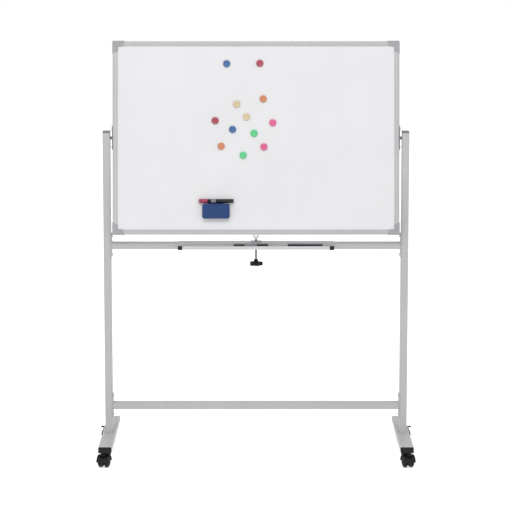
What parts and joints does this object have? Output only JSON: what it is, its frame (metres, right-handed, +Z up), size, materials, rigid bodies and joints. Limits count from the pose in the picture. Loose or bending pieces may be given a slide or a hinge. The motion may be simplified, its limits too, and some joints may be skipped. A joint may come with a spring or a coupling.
{
  "type": "flip whiteboard",
  "caption": "Framed double-sided magnetic whiteboard that turns over between two posts of a stand on casters, with pen tray and screw clamp.",
  "frame": {"origin": "on the floor, under the middle of the stand", "axes": "+X to the right seen from the front, -Y to the front, +Z up"},
  "size_m": [1.356, 0.6, 1.7522],
  "materials": {
    "writing_enamel": "gloss white enamel",
    "board_filler": "matt",
    "frame_aluminium": "satin anodised",
    "corner_plastic": "matt grey",
    "powder_coat": "satin light grey",
    "zinc_steel": "zinc plated",
    "nylon": "matt",
    "black_plastic": "satin black",
    "cap_plastic": "matt dark grey",
    "wheel_plastic": "satin black",
    "magnet_blue": "gloss",
    "magnet_red": "gloss",
    "magnet_orange": "gloss",
    "magnet_cream": "gloss",
    "magnet_green": "gloss",
    "magnet_pink": "gloss",
    "eraser_blue": "satin blue",
    "eraser_felt": "felt",
    "marker_black": "gloss black",
    "marker_red": "gloss red",
    "marker_navy": "gloss navy"
  },
  "bodies": {
    "stand": {"post_left": "powder_coat", "post_right": "powder_coat", "post_caps": "cap_plastic", "pivot_bushes": "nylon", "upper_crossbar": "powder_coat", "lower_crossbar": "powder_coat", "crossbar_end_plates": "powder_coat", "frame_bolts": "zinc_steel", "frame_nuts": "zinc_steel", "foot_left": "powder_coat", "foot_right": "powder_coat", "foot_end_caps": "black_plastic", "caster_sockets": "zinc_steel", "caster_stems": "zinc_steel", "tray": "frame_aluminium", "tray_end_caps": "black_plastic", "clamp_plate": "powder_coat"},
    "board": {"board_core": "board_filler", "front_sheet": "writing_enamel", "back_sheet": "writing_enamel", "rail_top": "frame_aluminium", "rail_bottom": "frame_aluminium", "side_rails": "frame_aluminium", "board_corners": "corner_plastic", "pivot_plates": "zinc_steel", "pivot_screws": "zinc_steel", "pivot_nuts": "zinc_steel"},
    "eraser": {"eraser_body": "eraser_blue", "eraser_felt": "eraser_felt"},
    "eraser_marker": {"eraser_marker_barrel": "marker_black"},
    "eraser_marker_cap": {"eraser_marker_cap": "marker_red"},
    "left_marker": {"left_marker_barrel": "marker_black"},
    "left_marker_cap": {"left_marker_cap": "marker_black"},
    "right_marker": {"right_marker_barrel": "marker_navy"},
    "right_marker_cap": {"right_marker_cap": "marker_navy"},
    "clamp_saddle": {"clamp_head": "zinc_steel"},
    "clamp_screw": {"clamp_rod": "zinc_steel", "clamp_knob": "black_plastic"},
    "blue_magnets": {"magnets_blue": "magnet_blue"},
    "red_magnets": {"magnets_red": "magnet_red"},
    "orange_magnets": {"magnets_orange": "magnet_orange"},
    "cream_magnets": {"magnets_cream": "magnet_cream"},
    "green_magnets": {"magnets_green": "magnet_green"},
    "pink_magnets": {"magnets_pink": "magnet_pink"},
    "front_left_swivel": {"front_left_hood": "black_plastic"},
    "front_left_wheelset": {"front_left_axle": "zinc_steel", "front_left_wheels": "wheel_plastic"},
    "front_left_brake": {"front_left_brake_lever": "black_plastic"},
    "front_right_swivel": {"front_right_hood": "black_plastic"},
    "front_right_wheelset": {"front_right_axle": "zinc_steel", "front_right_wheels": "wheel_plastic"},
    "front_right_brake": {"front_right_brake_lever": "black_plastic"},
    "rear_left_swivel": {"rear_left_hood": "black_plastic"},
    "rear_left_wheelset": {"rear_left_axle": "zinc_steel", "rear_left_wheels": "wheel_plastic"},
    "rear_left_brake": {"rear_left_brake_lever": "black_plastic"},
    "rear_right_swivel": {"rear_right_hood": "black_plastic"},
    "rear_right_wheelset": {"rear_right_axle": "zinc_steel", "rear_right_wheels": "wheel_plastic"},
    "rear_right_brake": {"rear_right_brake_lever": "black_plastic"}
  },
  "joints": [
    {"name": "board_flip", "type": "hinge", "parent": "stand", "child": "board", "pos_m": [0, 0, 1.349], "axis": [1, 0, 0], "continuous": true},
    {"name": "clamp_lift", "type": "slide", "parent": "stand", "child": "clamp_saddle", "axis": [0, 0, 1], "range_m": [-0.01, 0.0115]},
    {"name": "clamp_turn", "type": "hinge", "parent": "clamp_saddle", "child": "clamp_screw", "pos_m": [0, 0, 0.85], "axis": [0, 0, 1], "range_deg": [-2880, 3310]},
    {"name": "eraser_pull_off", "type": "slide", "parent": "board", "child": "eraser", "axis": [0, -0.9877, 0.1564], "range_m": [0, 0.03]},
    {"name": "eraser_marker_pull_out", "type": "slide", "parent": "eraser", "child": "eraser_marker", "axis": [0, -0.9877, 0.1564], "range_m": [0, 0.03]},
    {"name": "eraser_marker_uncap", "type": "slide", "parent": "eraser_marker", "child": "eraser_marker_cap", "axis": [-1, 0, 0], "range_m": [0, 0.03]},
    {"name": "left_marker_lift", "type": "slide", "parent": "stand", "child": "left_marker", "axis": [0, 0, 1], "range_m": [0, 0.03]},
    {"name": "left_marker_uncap", "type": "slide", "parent": "left_marker", "child": "left_marker_cap", "axis": [1, 0, 0], "range_m": [0, 0.03]},
    {"name": "right_marker_lift", "type": "slide", "parent": "stand", "child": "right_marker", "axis": [0, 0, 1], "range_m": [0, 0.03]},
    {"name": "right_marker_uncap", "type": "slide", "parent": "right_marker", "child": "right_marker_cap", "axis": [-1, 0, 0], "range_m": [0, 0.03]},
    {"name": "blue_magnets_pull_off", "type": "slide", "parent": "board", "child": "blue_magnets", "axis": [0, -0.9877, 0.1564], "range_m": [0, 0.03]},
    {"name": "red_magnets_pull_off", "type": "slide", "parent": "board", "child": "red_magnets", "axis": [0, -0.9877, 0.1564], "range_m": [0, 0.03]},
    {"name": "orange_magnets_pull_off", "type": "slide", "parent": "board", "child": "orange_magnets", "axis": [0, -0.9877, 0.1564], "range_m": [0, 0.03]},
    {"name": "cream_magnets_pull_off", "type": "slide", "parent": "board", "child": "cream_magnets", "axis": [0, -0.9877, 0.1564], "range_m": [0, 0.03]},
    {"name": "green_magnets_pull_off", "type": "slide", "parent": "board", "child": "green_magnets", "axis": [0, -0.9877, 0.1564], "range_m": [0, 0.03]},
    {"name": "pink_magnets_pull_off", "type": "slide", "parent": "board", "child": "pink_magnets", "axis": [0, -0.9877, 0.1564], "range_m": [0, 0.03]},
    {"name": "front_left_swivel_turn", "type": "hinge", "parent": "stand", "child": "front_left_swivel", "pos_m": [-0.626, -0.243, 0.06], "axis": [0, 0, 1], "continuous": true},
    {"name": "front_left_wheel_roll", "type": "hinge", "parent": "front_left_swivel", "child": "front_left_wheelset", "pos_m": [-0.63169, -0.26425, 0.025], "axis": [-0.9659, 0.2588, 0], "continuous": true},
    {"name": "front_left_brake_press", "type": "hinge", "parent": "front_left_swivel", "child": "front_left_brake", "pos_m": [-0.63454, -0.27488, 0.04], "axis": [0.9659, -0.2588, 0], "range_deg": [0, 18]},
    {"name": "front_right_swivel_turn", "type": "hinge", "parent": "stand", "child": "front_right_swivel", "pos_m": [0.626, -0.243, 0.06], "axis": [0, 0, 1], "continuous": true},
    {"name": "front_right_wheel_roll", "type": "hinge", "parent": "front_right_swivel", "child": "front_right_wheelset", "pos_m": [0.63169, -0.26425, 0.025], "axis": [-0.9659, -0.2588, 0], "continuous": true},
    {"name": "front_right_brake_press", "type": "hinge", "parent": "front_right_swivel", "child": "front_right_brake", "pos_m": [0.63454, -0.27488, 0.04], "axis": [0.9659, 0.2588, 0], "range_deg": [0, 18]},
    {"name": "rear_left_swivel_turn", "type": "hinge", "parent": "stand", "child": "rear_left_swivel", "pos_m": [-0.626, 0.243, 0.06], "axis": [0, 0, 1], "continuous": true},
    {"name": "rear_left_wheel_roll", "type": "hinge", "parent": "rear_left_swivel", "child": "rear_left_wheelset", "pos_m": [-0.648, 0.243, 0.025], "axis": [0, 1, 0], "continuous": true},
    {"name": "rear_left_brake_press", "type": "hinge", "parent": "rear_left_swivel", "child": "rear_left_brake", "pos_m": [-0.659, 0.243, 0.04], "axis": [0, -1, 0], "range_deg": [0, 18]},
    {"name": "rear_right_swivel_turn", "type": "hinge", "parent": "stand", "child": "rear_right_swivel", "pos_m": [0.626, 0.243, 0.06], "axis": [0, 0, 1], "continuous": true},
    {"name": "rear_right_wheel_roll", "type": "hinge", "parent": "rear_right_swivel", "child": "rear_right_wheelset", "pos_m": [0.648, 0.243, 0.025], "axis": [0, -1, 0], "continuous": true},
    {"name": "rear_right_brake_press", "type": "hinge", "parent": "rear_right_swivel", "child": "rear_right_brake", "pos_m": [0.659, 0.243, 0.04], "axis": [0, 1, 0], "range_deg": [0, 18]}
  ],
  "couplings": [
    {"joint": "clamp_lift", "follows": "clamp_turn", "m_per_rad": 0.00019894}
  ]
}
